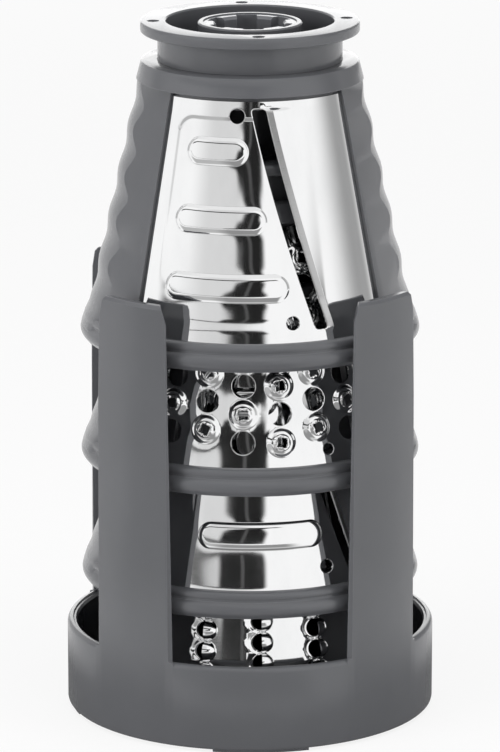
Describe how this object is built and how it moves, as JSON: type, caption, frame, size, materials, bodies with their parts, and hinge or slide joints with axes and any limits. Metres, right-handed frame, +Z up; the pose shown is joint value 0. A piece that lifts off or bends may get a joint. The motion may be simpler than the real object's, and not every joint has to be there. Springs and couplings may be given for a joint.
{
  "type": "electric grater drum set",
  "caption": "Nested conical slicing and grating drums of an electric grater, with steel cutting sheets in grey plastic frames, standing in a storage cup with posts.",
  "frame": {"origin": "middle of the underside of the stand's feet, on the axis of the nested drums", "axes": "+Z up along the drums' common axis, -Y towards the front that the picture shows, +X to the right of that view"},
  "size_m": [0.1092, 0.1092, 0.2065],
  "materials": {
    "grey_plastic": "satin mid grey moulding with a fine grain",
    "dark_plastic": "satin darker grey moulding",
    "sheet_steel": "stainless sheet polished to a mirror"
  },
  "bodies": {
    "storage_stand": {"storage_stand": "grey_plastic"},
    "coarse_grater": {"coarse_grater_frame": "grey_plastic", "coarse_grater_collar": "grey_plastic", "coarse_grater_drive_socket": "dark_plastic", "coarse_grater_front_sheet": "sheet_steel", "coarse_grater_back_sheet": "sheet_steel"},
    "thin_slicer": {"thin_slicer_frame": "grey_plastic", "thin_slicer_collar": "grey_plastic", "thin_slicer_drive_socket": "dark_plastic", "thin_slicer_front_sheet": "sheet_steel", "thin_slicer_back_sheet": "sheet_steel"},
    "rasp": {"rasp_frame": "grey_plastic", "rasp_collar": "grey_plastic", "rasp_drive_socket": "dark_plastic", "rasp_front_sheet": "sheet_steel", "rasp_back_sheet": "sheet_steel"},
    "thick_slicer": {"thick_slicer_frame": "grey_plastic", "thick_slicer_collar": "grey_plastic", "thick_slicer_drive_socket": "dark_plastic", "thick_slicer_front_sheet": "sheet_steel", "thick_slicer_back_sheet": "sheet_steel"}
  },
  "joints": [
    {"name": "coarse_grater_lift", "type": "slide", "parent": "storage_stand", "child": "coarse_grater", "axis": [0, 0, 1], "range_m": [0, 0.132]},
    {"name": "thin_slicer_lift", "type": "slide", "parent": "coarse_grater", "child": "thin_slicer", "axis": [0, 0, 1], "range_m": [0, 0.095]},
    {"name": "rasp_lift", "type": "slide", "parent": "thin_slicer", "child": "rasp", "axis": [0, 0, 1], "range_m": [0, 0.06]},
    {"name": "thick_slicer_lift", "type": "slide", "parent": "rasp", "child": "thick_slicer", "axis": [0, 0, 1], "range_m": [0, 0.06]}
  ]
}
